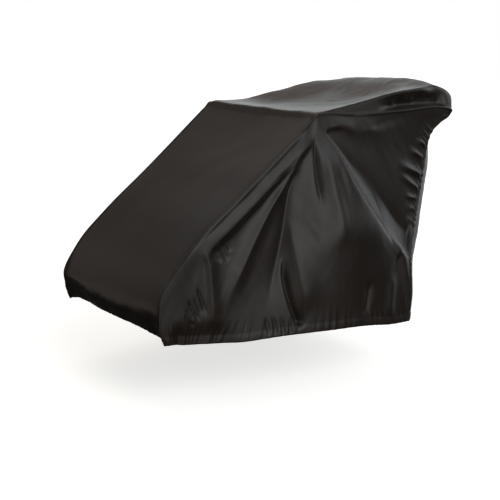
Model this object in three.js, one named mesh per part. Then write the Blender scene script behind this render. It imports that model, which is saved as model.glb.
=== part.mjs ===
// A fitted cover as it hangs over what it covers: a centre panel that runs from the front hem up the
// slope, over the roof and the raised crest and down the rear, and two side panels sewn to its edges.
// The underside is open.
//
// Millimetres. x runs across the cover, with its left at +x, y along it with the front at -y, and z up.
// The tables give heights above the ground that the cover hangs clear of. The group is then set down
// with its origin under the roof cloth, where the cover is carried.
import * as THREE from "three";

const clothThickness = 2;
const seamParting = 0.5; // between the edges of two panels
const hemBand = 28; // the turned-up hem that holds the elastic
const hemStep = 3; // how soon the cloth above thins to a single layer
const hemSwell = 1.5; // the hem stands this far proud
const roofCarry = { y: 100, z: 879 }; // the carrying point, just under the roof cloth

// The edge of the centre panel, which is also the seam with a side panel, from the front hem to the
// rear hem. x is the half width there, and right how far the right seam lies off the left one in y
// and z. The shoulder and quarter lines (x, y, z) run inside the edge, and the middle line (y, z)
// down the centre of the cover.
const stations = [
  { at: "front hem", x: 328, y: -598, z: 214, right: [3, 6],
    shoulder: [300, -600, 230], quarter: [160, -600, 236], middle: [-600, 236] },
  { at: "lip", x: 329, y: -617, z: 268, right: [5, 4],
    shoulder: [300, -621, 291], quarter: [160, -622, 285], middle: [-622, 284] },
  { at: "nose", x: 327, y: -613, z: 336, right: [-4, -16],
    shoulder: [298, -609, 334], quarter: [160, -605, 330], middle: [-604, 329] },
  { at: "brow", x: 324, y: -575, z: 411, right: [9, -3],
    shoulder: [296, -573, 414], quarter: [160, -566, 411], middle: [-564, 409] },
  { at: "knee", x: 320, y: -461, z: 526, right: [4, -9],
    shoulder: [292, -459, 529], quarter: [158, -453, 523], middle: [-451, 520] },
  { at: "slope", x: 316, y: -280, z: 663, right: [1, -3],
    shoulder: [290, -279, 667], quarter: [156, -274, 663], middle: [-271, 660] },
  { at: "slope top", x: 311, y: -26, z: 859, right: [-8, 5],
    shoulder: [287, -24, 864], quarter: [155, -23, 861], middle: [-22, 860] },
  { at: "roof edge", x: 310, y: 0, z: 879, right: [-13, 3],
    shoulder: [287, -1, 884], quarter: [155, 0, 884], middle: [0, 884] },
  { at: "roof front", x: 309, y: 34, z: 880, right: [-8, 0],
    shoulder: [292, 34, 888], quarter: [155, 34, 885], middle: [34, 884] },
  { at: "roof", x: 307, y: 130, z: 873, right: [-2, -9],
    shoulder: [293, 130, 900], quarter: [156, 130, 884], middle: [130, 881] },
  { at: "dip", x: 306, y: 250, z: 870, right: [-4, -12],
    shoulder: [286, 250, 921], quarter: [154, 250, 890], middle: [250, 883] },
  { at: "rise", x: 304, y: 400, z: 872, right: [-3, -5],
    shoulder: [280, 400, 942], quarter: [150, 400, 914], middle: [400, 905] },
  { at: "crest front", x: 300, y: 520, z: 877, right: [0, -2],
    shoulder: [272, 505, 950], quarter: [146, 522, 953], middle: [530, 953] },
  { at: "crest top", x: 298, y: 578, z: 873, right: [2, -3],
    shoulder: [268, 562, 950], quarter: [144, 588, 965], middle: [602, 967] },
  { at: "crest back", x: 296, y: 624, z: 861, right: [2, -2],
    shoulder: [268, 642, 912], quarter: [143, 655, 934], middle: [666, 938] },
  { at: "crest under", x: 294, y: 608, z: 842, right: [0, 1],
    shoulder: [260, 648, 866], quarter: [142, 664, 880], middle: [676, 884] },
  { at: "hollow", x: 298, y: 566, z: 824, right: [-2, 2],
    shoulder: [262, 582, 829], quarter: [143, 642, 838], middle: [660, 840] },
  { at: "tuck", x: 300, y: 520, z: 790, right: [-4, 4],
    shoulder: [268, 544, 790], quarter: [146, 616, 796], middle: [640, 796] },
  { at: "rear top", x: 302, y: 500, z: 750, right: [-5, 3],
    shoulder: [271, 530, 745], quarter: [152, 584, 726], middle: [602, 718] },
  { at: "rear upper", x: 310, y: 478, z: 668, right: [-3, 0],
    shoulder: [279, 512, 660], quarter: [172, 520, 632], middle: [538, 620] },
  { at: "rear", x: 324, y: 448, z: 586, right: [2, -3],
    shoulder: [294, 483, 578], quarter: [190, 462, 542], middle: [480, 530] },
  { at: "rear waist", x: 352, y: 399, z: 465, right: [4, -4],
    shoulder: [324, 434, 460], quarter: [205, 415, 441], middle: [430, 432] },
  { at: "rear lower", x: 408, y: 337, z: 350, right: [3, -3],
    shoulder: [381, 371, 346], quarter: [212, 386, 331], middle: [396, 324] },
  { at: "rear skirt", x: 422, y: 329, z: 245, right: [0, -2],
    shoulder: [400, 357, 243], quarter: [215, 376, 236], middle: [383, 233] },
  { at: "rear hem", x: 419, y: 322, z: 158, right: [-2, 3],
    shoulder: [397, 349, 160], quarter: [212, 362, 160], middle: [366, 160] },
];

// Where the shoulder and quarter lines lie across the half panel, from the middle to the seam.
const acrossKnots = [0, 0.5, 0.87, 1];

// A side panel in strips that hang from the seam above and fan out from the roof's corner. top is the
// y at which the strip leaves the seam. It ends on the hem, at foot (x, y, z), or further back on the
// rear seam, at the height rear. swell is the share of the way down at which it has its full width,
// and parts how many columns the model has from one row to the next.
const strips = [
  { top: -575, foot: [328, -598, 214], swell: 1.0, parts: 2 },
  { top: -530, foot: [336, -574, 211], swell: 1.0, parts: 3 },
  { top: -440, foot: [345, -528, 203], swell: 1.0, parts: 3 },
  { top: -330, foot: [352, -482, 199], swell: 1.0, parts: 3 },
  { top: -220, foot: [362, -415, 193], swell: 1.0, parts: 3 },
  { top: -120, foot: [373, -345, 190], swell: 0.95, parts: 4 },
  { top: -56, foot: [386, -268, 191], swell: 0.85, parts: 4 },
  { top: -18, foot: [408, -184, 194], swell: 0.72, parts: 4 },
  { top: 10, foot: [425, -100, 193], swell: 0.62, parts: 4 },
  { top: 32, foot: [435, -15, 190], swell: 0.56, parts: 4 },
  { top: 54, foot: [439, 70, 186], swell: 0.54, parts: 4 },
  { top: 78, foot: [436, 150, 177], swell: 0.56, parts: 4 },
  { top: 106, foot: [432, 232, 165], swell: 0.6, parts: 4 },
  { top: 140, foot: [419, 322, 158], swell: 0.65, parts: 1 },
  { top: 149, rear: 184, swell: 0.66, parts: 1 },
  { top: 153, rear: 187, swell: 0.66, parts: 2 },
  { top: 171, rear: 250, swell: 0.7, parts: 3 },
  { top: 194, rear: 330, swell: 0.75, parts: 3 },
  { top: 218, rear: 410, swell: 0.8, parts: 3 },
  { top: 244, rear: 500, swell: 0.85, parts: 3 },
  { top: 276, rear: 590, swell: 0.9, parts: 3 },
  { top: 318, rear: 675, swell: 0.95, parts: 3 },
  { top: 374, rear: 745, swell: 1.0, parts: 3 },
  { top: 448, rear: 797, swell: 1.0, parts: 3 },
  { top: 556, rear: 833, swell: 1.0, parts: 0 },
];

// Folds of the side panels, as ridges and, with a negative rise, troughs. Each follows a line of points
// (y, z). front and back are the widths of its two flanks at the start and the end of the line, edge
// how round it is, and fade the shares of the line over which it starts and ends. A hollow with a rim
// has a back flank that runs straight out to that line.
const leftFolds = [
  // along the slope's edge
  { line: [[-30, 835], [-130, 757], [-241, 655], [-365, 553], [-441, 480], [-500, 412]],
    rise: 20, front: [24, 30], back: [15, 22], edge: 2.0, fade: [0.12, 0.3] },
  { line: [[-62, 765], [-129, 708], [-203, 650], [-252, 605], [-372, 511]],
    rise: -13, front: [10, 16], back: [22, 34], edge: 1.3 },
  // to the front of the hem
  { line: [[-62, 768], [-158, 661], [-209, 600], [-260, 528], [-306, 452], [-348, 382], [-375, 320],
      [-400, 230]],
    rise: 19, front: [14, 46], back: [14, 36], edge: 1.5, fade: [0.2, 0.2] },
  { line: [[-110, 700], [-160, 600], [-205, 480], [-240, 344], [-275, 230]],
    rise: -17, front: [16, 40], back: [16, 44], edge: 2.0 },
  // the deep crease under the corner and the ridge behind it
  { line: [[-160, 480], [-183, 400], [-180, 321], [-171, 272], [-156, 196]],
    rise: -38, front: [24, 28], back: [11, 13], edge: 1.3, fade: [0.35, 0.08] },
  { line: [[-140, 640], [-152, 520], [-152, 404], [-134, 300], [-126, 220]],
    rise: 13, front: [14, 16], back: [36, 60], edge: 1.8 },
  { line: [[-66, 771], [-96, 648], [-134, 510]], rise: 11, front: [18, 30], back: [20, 36] },
  { line: [[-28, 806], [-35, 699], [-40, 574]],
    rise: -17, front: [8, 14], back: [9, 15], edge: 1.4, fade: [0.3, 0.5] },
  { line: [[0, 790], [8, 671], [16, 558], [2, 440]], rise: 7, front: [16, 30], back: [16, 34] },
  { line: [[40, 750], [55, 606], [36, 470]], rise: -5, front: [12, 24], back: [14, 26] },
  { line: [[46, 775], [87, 656], [100, 540]], rise: 6, front: [14, 22], back: [14, 26] },
  { line: [[-130, 430], [-11, 500], [60, 515], [134, 500], [240, 440]],
    rise: 7, front: [60, 60], back: [60, 60] },
  // the bank to the rear seam, the hollow above it and the ridge over that
  { line: [[22, 800], [69, 711], [147, 616], [199, 536], [253, 461], [307, 395]],
    rise: 12, front: [40, 80], back: [14, 34], edge: 1.9, fade: [0.15, 0.05] },
  { line: [[30, 812], [88, 734], [187, 654], [246, 581], [308, 512], [365, 450]],
    rise: -36, front: [9, 48], back: [20, 20], edge: 1.9, fade: [0.3, 0.02],
    rim: [[20, 820], [36, 827], [61, 833], [110, 824], [170, 816], [230, 818], [300, 828], [364, 836],
      [450, 842], [530, 820], [515, 760], [495, 670], [462, 586], [425, 510], [385, 450]] },
  { line: [[36, 838], [80, 843], [160, 830], [260, 830], [400, 845]],
    rise: 9, front: [10, 26], back: [26, 26], edge: 1.7, fade: [0.2, 0.6] },
  // wrinkles drawn in by the rear seam
  { line: [[396, 746], [490, 696]], rise: 7, front: [11, 7], back: [9, 7], edge: 1.5, fade: [0.5, 0.1] },
  { line: [[334, 700], [478, 640]], rise: 10, front: [16, 9], back: [16, 9], edge: 1.6, fade: [0.5, 0.1] },
  { line: [[338, 664], [462, 588]], rise: 7, front: [12, 8], back: [12, 8], edge: 1.5, fade: [0.5, 0.1] },
  // the fan at the front corner
  { line: [[-470, 510], [-442, 440], [-441, 340], [-446, 235]],
    rise: 13, front: [10, 16], back: [16, 26], edge: 1.6 },
  { line: [[-512, 392], [-470, 285]], rise: 6, front: [9, 9], back: [9, 9] },
  { line: [[-545, 345], [-484, 255]], rise: 5, front: [9, 9], back: [9, 9] },
  // low folds near the rear of the hem
  { line: [[135, 340], [105, 205]], rise: -7, front: [18, 16], back: [13, 12], edge: 1.5 },
  { line: [[240, 350], [222, 180]], rise: 6, front: [20, 22], back: [18, 20] },
];
const rightFolds = [
  { line: [[-30, 835], [-135, 752], [-250, 645], [-370, 545], [-450, 470], [-508, 405]],
    rise: 18, front: [24, 32], back: [16, 24], edge: 2.0, fade: [0.12, 0.3] },
  { line: [[-60, 768], [-140, 700], [-225, 630], [-350, 530]],
    rise: -12, front: [11, 16], back: [20, 34], edge: 1.4 },
  { line: [[-60, 765], [-150, 650], [-215, 560], [-285, 460], [-345, 360], [-395, 235]],
    rise: 16, front: [16, 44], back: [16, 40], edge: 1.6, fade: [0.2, 0.2] },
  { line: [[-100, 700], [-150, 590], [-200, 460], [-240, 330], [-262, 225]],
    rise: -18, front: [18, 40], back: [18, 40], edge: 2.0 },
  { line: [[-90, 560], [-118, 430], [-112, 330], [-100, 250], [-92, 200]],
    rise: -30, front: [24, 28], back: [12, 15], edge: 1.4, fade: [0.35, 0.08] },
  { line: [[-60, 650], [-78, 520], [-72, 400], [-58, 290], [-50, 215]],
    rise: 13, front: [14, 18], back: [34, 56] },
  { line: [[-20, 800], [-30, 680], [-52, 560]], rise: 9, front: [18, 30], back: [20, 34] },
  { line: [[12, 808], [22, 690], [34, 560]],
    rise: -14, front: [9, 16], back: [10, 16], edge: 1.4, fade: [0.3, 0.5] },
  { line: [[36, 790], [64, 670], [92, 540], [110, 440]], rise: 9, front: [16, 28], back: [16, 30] },
  { line: [[-20, 470], [0, 360], [14, 240]], rise: -9, front: [20, 26], back: [20, 26] },
  { line: [[20, 430], [120, 470], [220, 440]], rise: 7, front: [60, 60], back: [60, 60] },
  { line: [[24, 806], [78, 716], [150, 628], [206, 552], [262, 478], [318, 410]],
    rise: 11, front: [40, 76], back: [14, 34], edge: 1.9, fade: [0.15, 0.05] },
  { line: [[32, 816], [96, 740], [190, 662], [252, 592], [316, 522], [370, 458]],
    rise: -34, front: [9, 46], back: [20, 20], edge: 1.9, fade: [0.3, 0.02],
    rim: [[20, 820], [36, 829], [70, 836], [120, 826], [180, 820], [240, 822], [300, 830], [364, 838],
      [450, 844], [530, 822], [513, 760], [492, 670], [460, 586], [424, 510], [386, 452]] },
  { line: [[36, 842], [90, 846], [170, 834], [280, 836], [400, 846]],
    rise: 8, front: [12, 26], back: [26, 26], edge: 1.7, fade: [0.2, 0.6] },
  { line: [[402, 760], [490, 722]], rise: 7, front: [11, 7], back: [9, 7], edge: 1.5, fade: [0.5, 0.1] },
  { line: [[350, 712], [476, 664]], rise: 9, front: [14, 9], back: [14, 9], edge: 1.6, fade: [0.5, 0.1] },
  { line: [[352, 640], [458, 606]], rise: 8, front: [12, 8], back: [12, 8], edge: 1.5, fade: [0.5, 0.1] },
  { line: [[-480, 490], [-462, 420], [-468, 330], [-484, 238]],
    rise: 12, front: [12, 18], back: [16, 24], edge: 1.6 },
  { line: [[-400, 450], [-385, 340], [-378, 230]], rise: 8, front: [12, 18], back: [12, 18] },
  { line: [[-548, 338], [-492, 252]], rise: 5, front: [9, 9], back: [9, 9] },
  { line: [[60, 350], [66, 200]], rise: -7, front: [18, 16], back: [13, 12], edge: 1.5 },
  { line: [[182, 360], [196, 190]], rise: 6, front: [20, 22], back: [18, 20] },
];

// Folds of the rear of the centre panel, as lines of (x, z) points, with flanks to the right and left.
const rearFolds = [
  { line: [[232, 830], [330, 240]], rise: 22, right: [36, 50], left: [40, 56] },
  { line: [[-236, 830], [-318, 260]], rise: 20, right: [40, 56], left: [36, 50] },
  { line: [[150, 800], [196, 260]], rise: -15, right: [36, 54], left: [40, 60] },
  { line: [[-120, 800], [-205, 250]], rise: -14, right: [42, 63], left: [36, 54] },
  { line: [[20, 820], [60, 230]], rise: 12, right: [38, 60], left: [38, 60] },
  { line: [[-60, 640], [-90, 230]], rise: -8, right: [28, 36], left: [26, 34] },
];
const narrowestFlank = 14; // the model's points lie too far apart to show a steeper one

// The number of rows of the model down a side panel above the hem band, and across the centre panel.
const sideRows = 13;
const acrossShares = [0, 0.28, 0.55, 0.73, 0.87, 0.94, 1];
const seamHold = { top: 20, hem: 22, rear: 52 }; // folds fade out over this much cloth at an edge

const side = { left: 1, right: -1 };
const clamp01 = (value) => Math.min(1, Math.max(0, value));
const ease = (share) => clamp01(share) ** 2 * (3 - 2 * clamp01(share));
const mix = (a, b, share) => a + (b - a) * share;

// A smooth curve through values at rising knots that never overshoots them.
function through(knots, values, at) {
  const last = knots.length - 1;
  let k = 0;
  while (k < last - 1 && at > knots[k + 1]) k += 1;
  const chord = (i) => (values[i + 1] - values[i]) / (knots[i + 1] - knots[i]);
  const slope = (i) => {
    if (i === 0) return chord(0);
    if (i === last) return chord(last - 1);
    const before = chord(i - 1);
    const after = chord(i);
    return before * after <= 0 ? 0 : (2 * before * after) / (before + after);
  };
  const width = knots[k + 1] - knots[k];
  const s = (at - knots[k]) / width;
  const rising = s * s * (3 - 2 * s);
  return (
    values[k] * (1 - rising) +
    values[k + 1] * rising +
    width * (slope(k) * s * (1 - s) ** 2 - slope(k + 1) * s * s * (1 - s))
  );
}

// Distances along a line of rows with x, y and z.
function distances(rows) {
  const along = [0];
  rows.slice(1).forEach((row, i) => {
    const before = rows[i];
    along.push(along[i] + Math.hypot(row.x - before.x, row.y - before.y, row.z - before.z));
  });
  return along;
}

const seamKnots = distances(stations);
const seamAt = Object.fromEntries(stations.map((row, i) => [row.at, seamKnots[i]]));
const seamEnd = seamAt["rear hem"];
const columnOf = (read) => stations.map(read);

// The panel's lines at a distance along the seam, each as [x, y, z], from the middle outwards, and
// what the right side adds to y and z there.
const lineValues = [
  [columnOf(() => 0), columnOf((row) => row.middle[0]), columnOf((row) => row.middle[1])],
  [0, 1, 2].map((axis) => columnOf((row) => row.quarter[axis])),
  [0, 1, 2].map((axis) => columnOf((row) => row.shoulder[axis])),
  [columnOf((row) => row.x), columnOf((row) => row.y), columnOf((row) => row.z)],
];
const linesAt = (along) => lineValues.map((line) => line.map((values) => through(seamKnots, values, along)));
const rightOff = [0, 1].map((axis) => columnOf((row) => row.right[axis]));
const unevenness = (along, which) =>
  rightOff.map((values) => (which === side.right ? through(seamKnots, values, along) : 0));

function seamPoint(along, which) {
  const [x, y, z] = linesAt(along)[3];
  const [offY, offZ] = unevenness(along, which);
  return new THREE.Vector3(which * x, y + offY, z + offZ);
}

// The distance along the left seam, between two stations, at which a coordinate has a value.
function seamWhere(axis, value, from, to) {
  let [low, high] = [seamAt[from], seamAt[to]];
  const rising = seamPoint(high, side.left)[axis] > seamPoint(low, side.left)[axis];
  for (let i = 0; i < 40; i += 1) {
    const middle = (low + high) / 2;
    if (seamPoint(middle, side.left)[axis] < value === rising) low = middle;
    else high = middle;
  }
  return (low + high) / 2;
}

// A drawn line as a row of close points, each with its share of the way along.
function drawn(points) {
  const marks = [0];
  points.slice(1).forEach(([u, v], i) => {
    marks.push(marks[i] + Math.hypot(u - points[i][0], v - points[i][1]));
  });
  const steps = 5 * points.length;
  return Array.from({ length: steps + 1 }, (_, i) => {
    const along = (marks[marks.length - 1] * i) / steps;
    const [u, v] = [0, 1].map((axis) => through(marks, points.map((point) => point[axis]), along));
    return { u, v, share: i / steps };
  });
}

// The nearest place on a drawn line: how far off, on which side of the line, and its share of the way.
function nearestOn(row, u, v) {
  let best = { away: Infinity, aside: 1, share: 0 };
  for (let i = 1; i < row.length; i += 1) {
    const [a, b] = [row[i - 1], row[i]];
    const [du, dv] = [b.u - a.u, b.v - a.v];
    const t = clamp01(((u - a.u) * du + (v - a.v) * dv) / (du * du + dv * dv));
    const away = Math.hypot(u - a.u - t * du, v - a.v - t * dv);
    if (away < best.away) {
      const aside = (u - a.u) * dv - (v - a.v) * du > 0 ? 1 : -1;
      best = { away, aside, share: mix(a.share, b.share, t) };
    }
  }
  return best;
}

// A fold as foldRise needs it, with the widths on the two sides of its line.
const readyFold = (fold, leading, trailing) => ({
  rise: fold.rise,
  edge: fold.edge ?? 1.8,
  fade: fold.fade ?? [0.3, 0.3],
  row: drawn(fold.line),
  rimRow: fold.rim && drawn(fold.rim),
  widths: { 1: leading, [-1]: trailing },
});

// A fold's rise at a point of the plane that its table is drawn in.
function foldRise({ rise, edge, fade, row, rimRow, widths }, u, v) {
  const { away, aside, share } = nearestOn(row, u, v);
  const width = Math.max(mix(...widths[aside], share), narrowestFlank);
  let flank = Math.exp(-(((away / width) ** 2 + 0.01) ** (edge / 2)));
  if (rimRow && aside < 0) {
    const rim = nearestOn(rimRow, u, v);
    const inside = Math.max(0, rim.aside * rim.away);
    flank = inside / (away + inside + 1);
  }
  return rise * ease(share / fade[0]) * ease((1 - share) / fade[1]) * flank;
}

const readySide = (folds) => folds.map((fold) => readyFold(fold, fold.front, fold.back));
const sideFolds = { [side.left]: readySide(leftFolds), [side.right]: readySide(rightFolds) };
const centreFolds = rearFolds.map((fold) => readyFold(fold, fold.right, fold.left));
const relief = (folds, u, v) => folds.reduce((sum, fold) => sum + foldRise(fold, u, v), 0);

// A point of the centre panel: across runs from -1 at the right seam to 1 at the left one.
function centrePoint(along, across) {
  const which = across < 0 ? side.right : side.left;
  if (Math.abs(across) === 1) return seamPoint(along, which);
  const share = Math.abs(across);
  const lines = linesAt(along);
  const mirrored = [-acrossKnots[1], ...acrossKnots];
  const lineRow = (axis, sign) => [sign * lines[1][axis], ...lines.map((line) => line[axis])];
  const read = (axis, sign) => through(mirrored, lineRow(axis, sign), share);
  const [offY, offZ] = unevenness(along, which).map((off) => off * ease(share));
  const point = new THREE.Vector3(which * read(0, -1), read(1, 1) + offY, read(2, 1) + offZ);
  const behind = ease((along - seamAt["crest back"]) / 200) * ease((1 - share) / 0.12);
  point.y += behind * ease((seamEnd - along) / 60) * relief(centreFolds, point.x, point.z);
  if (along < hemBand - 1) point.y -= hemSwell;
  if (along > seamEnd - hemBand - 1) point.y += hemSwell;
  return point;
}

// The ends of the strips at a place along the row of strips, where each row of the table counts 1.
const stripKnots = strips.map((_, i) => i);
const lastStrip = strips.length - 1;
const cornerStrip = strips.findIndex((row) => row.rear) - 1;
const topAlong = strips.map((row) => seamWhere("y", row.top, "brow", "crest top"));
const onRearSeam = (height) => seamWhere("z", height, "rear hem", "crest under");
const rearAlong = strips.map((row) => (row.rear ? onRearSeam(row.rear) : seamEnd));
const footOf = (axis) => strips.map((row) => (row.foot ?? strips[cornerStrip].foot)[axis]);
const feet = [0, 1, 2].map(footOf);
const swells = strips.map((row) => row.swell);

const topPoint = (place, which) => seamPoint(through(stripKnots, topAlong, place), which);

function footPoint(place, which) {
  if (place >= cornerStrip) return seamPoint(through(stripKnots, rearAlong, place), which);
  if (place === 0) return seamPoint(0, which);
  const [x, y, z] = feet.map((values) => through(stripKnots, values, place));
  const off = unevenness(0, which).map((value) => value * (1 - place / cornerStrip));
  const uneven = which === side.right ? 5 : 0; // the right hem sways a little
  const sway = uneven * Math.sin(2.1 * place) * Math.sin((Math.PI * place) / cornerStrip);
  return new THREE.Vector3(which * x, y + off[0], z + off[1] + sway);
}

const frontAlong = (down) => mix(topAlong[0], 0, down);
const backAlong = (down) => mix(topAlong[lastStrip], rearAlong[lastStrip], down);

// A side panel is spanned between its four edges: the seam above, the hem and the rear seam below,
// and the bits of the seam round the nose in front and round the crest's end behind, whose bulge dies
// away over a few strips. down is the share of the way from the seam above.
const bulgeStrips = { front: 5, back: 1.0 };

// A strip rises evenly to its full width and then hangs straight.
const short = (down, swell) => 0.5 * (1 - down / swell + Math.hypot(1 - down / swell, 0.22));
function wideness(down, swell) {
  const [top, here, foot] = [0, down, 1].map((share) => short(share, swell));
  return (top - here) / (top - foot);
}
const acrossStrip = (axis, down, swell, top, bottom) =>
  mix(top[axis], bottom[axis], axis === "x" ? wideness(down, swell) : down);

function spannedPoint(place, down, which) {
  const swell = through(stripKnots, swells, place);
  const front = seamPoint(frontAlong(down), which);
  const back = seamPoint(backAlong(down), which);
  const frontShare = clamp01(1 - place / bulgeStrips.front) ** 2;
  const backShare = clamp01(1 - (lastStrip - place) / bulgeStrips.back) ** 1.5;
  const ends = [place, 0, lastStrip].map((at) => [topPoint(at, which), footPoint(at, which)]);
  return ["x", "y", "z"].map((axis) => {
    const [here, first, last] = ends.map(([top, foot]) => acrossStrip(axis, down, swell, top, foot));
    return here + frontShare * (front[axis] - first) + backShare * (back[axis] - last);
  });
}

function sidePoint(place, down, which) {
  if (down === 0) return topPoint(place, which);
  if (down === 1) return footPoint(place, which);
  if (place === 0) return seamPoint(frontAlong(down), which);
  if (place === lastStrip) return seamPoint(backAlong(down), which);
  const [x, y, z] = spannedPoint(place, down, which);
  const point = new THREE.Vector3(x, y, z);
  const held = [
    [topPoint(place, which), seamHold.top],
    [footPoint(place, which), place > cornerStrip ? seamHold.rear : seamHold.hem],
    [seamPoint(frontAlong(down), which), seamHold.top],
    [seamPoint(backAlong(down), which), seamHold.rear],
  ].reduce((hold, [edge, reach]) => hold * ease(point.distanceTo(edge) / reach), 1);
  point.x += which * held * relief(sideFolds[which], y, z);
  return point;
}

// Shares down a column at which the model has its rows: evenly to the hem band, then the band's step.
// Behind the rear corner, where the columns end on the seam, they pass over to an even spacing.
function rowShares(place) {
  const length = topPoint(place, side.left).distanceTo(footPoint(place, side.left));
  const bandTop = 1 - (hemBand + hemStep) / length;
  const rows = Array.from({ length: sideRows + 1 }, (_, i) => (bandTop * i) / sideRows);
  const behind = clamp01((place - cornerStrip) / 3);
  return [...rows, 1 - hemBand / length, 1].map((share, i) => mix(share, i / (sideRows + 2), behind));
}

const columns = strips.flatMap((row, i) => Array.from({ length: row.parts }, (_, k) => i + k / row.parts));
columns.push(lastStrip);
const cornerColumn = columns.indexOf(cornerStrip);

function sideGrid(which) {
  return columns.map((place) => rowShares(place).map((down, j, shares) => {
    const point = sidePoint(place, down, which);
    const inBand = j >= shares.length - 2 && place > 0 && place < cornerStrip;
    if (inBand) point.x += which * hemSwell;
    return point;
  }));
}

// The cells of a side panel's grid that lie on the seam, from the front hem to the rear hem.
const rowCount = rowShares(0).length;
const rowNumbers = Array.from({ length: rowCount }, (_, j) => j);
const seamCells = [
  ...rowNumbers.map((j) => [0, j]).reverse(),
  ...columns.slice(1).map((_, i) => [i + 1, 0]),
  ...rowNumbers.slice(1).map((j) => [columns.length - 1, j]),
  ...columns.slice(cornerColumn, -1).map((_, i) => [cornerColumn + i, rowCount - 1]).reverse(),
];

// The centre panel has a row of points for each of those cells.
function centreGrid() {
  const stops = seamCells.map(([i, j]) => {
    const place = columns[i];
    if (i === 0) return frontAlong(rowShares(0)[j]);
    if (j === 0) return through(stripKnots, topAlong, place);
    return i === columns.length - 1 ? backAlong(rowShares(place)[j]) : through(stripKnots, rearAlong, place);
  });
  const across = [...acrossShares.slice(1).reverse().map((share) => -share), ...acrossShares];
  return stops.map((along) => across.map((share) => centrePoint(along, share)));
}

const gridMap = (grid, make) => grid.map((row, i) => row.map((point, j) => make(point, i, j)));

// A panel before it has a thickness: its grid, the way out of the cover at each point, how deep the
// cloth is there and where the point moves to. facing is 1 or -1, for the way the grid winds.
function flatPanel(name, grid, facing) {
  const outward = gridMap(grid, () => new THREE.Vector3());
  const addFace = (...corners) => {
    const [a, b, c] = corners.map(([i, j]) => grid[i][j]);
    const face = b.clone().sub(a).cross(c.clone().sub(a)).multiplyScalar(facing);
    corners.forEach(([i, j]) => outward[i][j].add(face));
  };
  for (let i = 1; i < grid.length; i += 1) {
    for (let j = 1; j < grid[0].length; j += 1) {
      addFace([i - 1, j - 1], [i, j - 1], [i, j]);
      addFace([i - 1, j - 1], [i, j], [i - 1, j]);
    }
  }
  outward.flat().forEach((normal) => normal.normalize());
  const depth = gridMap(grid, () => clothThickness);
  return { name, grid, facing, outward, depth, shift: gridMap(grid, () => new THREE.Vector3()) };
}

// Joins a side panel to the centre panel: along their common seam both end in the mitre between them.
function sew(sidePanel, centre, which) {
  const edge = which === side.left ? centre.grid[0].length - 1 : 0;
  seamCells.forEach(([i, j], k) => {
    const before = centre.grid[Math.max(0, k - 1)][edge];
    const after = centre.grid[Math.min(seamCells.length - 1, k + 1)][edge];
    const out = sidePanel.outward[i][j].clone().add(centre.outward[k][edge]).normalize();
    const aside = after.clone().sub(before).cross(out).setLength((which * seamParting) / 2);
    const deep = clothThickness / Math.max(0.8, out.dot(centre.outward[k][edge]));
    const ends = [
      [sidePanel, i, j, aside],
      [centre, k, edge, aside.clone().negate()],
    ];
    ends.forEach(([panel, row, place, shift]) => {
      panel.outward[row][place].copy(out);
      panel.depth[row][place] = deep;
      panel.shift[row][place].copy(shift);
    });
  });
}

// A panel's closed solid: the outer grid, the same grid a cloth's thickness inside it, and a rim.
function panelGeometry({ grid, facing, outward, depth, shift }) {
  const rows = grid.length;
  const inRow = grid[0].length;
  const outer = gridMap(grid, (point, i, j) => point.clone().add(shift[i][j]));
  const inner = gridMap(outer, (point, i, j) => point.clone().addScaledVector(outward[i][j], -depth[i][j]));
  const triangles = [];
  const addQuad = (a, b, c, d) =>
    triangles.push(...(facing > 0 ? [[a, b, c], [a, c, d]] : [[a, c, b], [a, d, c]]));
  for (let i = 1; i < rows; i += 1) {
    for (let j = 1; j < inRow; j += 1) {
      addQuad(outer[i - 1][j - 1], outer[i][j - 1], outer[i][j], outer[i - 1][j]);
      addQuad(inner[i - 1][j - 1], inner[i - 1][j], inner[i][j], inner[i][j - 1]);
    }
  }
  const addRim = ([i, j], [m, n]) => addQuad(outer[i][j], outer[m][n], inner[m][n], inner[i][j]);
  for (let i = 1; i < rows; i += 1) {
    addRim([i, 0], [i - 1, 0]);
    addRim([i - 1, inRow - 1], [i, inRow - 1]);
  }
  for (let j = 1; j < inRow; j += 1) {
    addRim([0, j - 1], [0, j]);
    addRim([rows - 1, j], [rows - 1, j - 1]);
  }
  const geometry = new THREE.BufferGeometry();
  const corners = triangles.flat().flatMap((point) => point.toArray());
  geometry.setAttribute("position", new THREE.Float32BufferAttribute(corners, 3));
  geometry.computeVertexNormals();
  return geometry;
}

const centrePanel = flatPanel("centre_panel", centreGrid(), -1);
const leftPanel = flatPanel("side_panel_left", sideGrid(side.left), -1);
const rightPanel = flatPanel("side_panel_right", sideGrid(side.right), 1);
sew(leftPanel, centrePanel, side.left);
sew(rightPanel, centrePanel, side.right);

const blackNylon = { color: 0x2a2a29, roughness: 0.55, metalness: 0 };
const cover = new THREE.Group();
[centrePanel, leftPanel, rightPanel].forEach((panel) => {
  const mesh = new THREE.Mesh(panelGeometry(panel), new THREE.MeshStandardMaterial(blackNylon));
  mesh.name = panel.name;
  cover.add(mesh);
});
cover.position.set(0, -roofCarry.y, -roofCarry.z);

export default cover;
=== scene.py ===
import math

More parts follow.
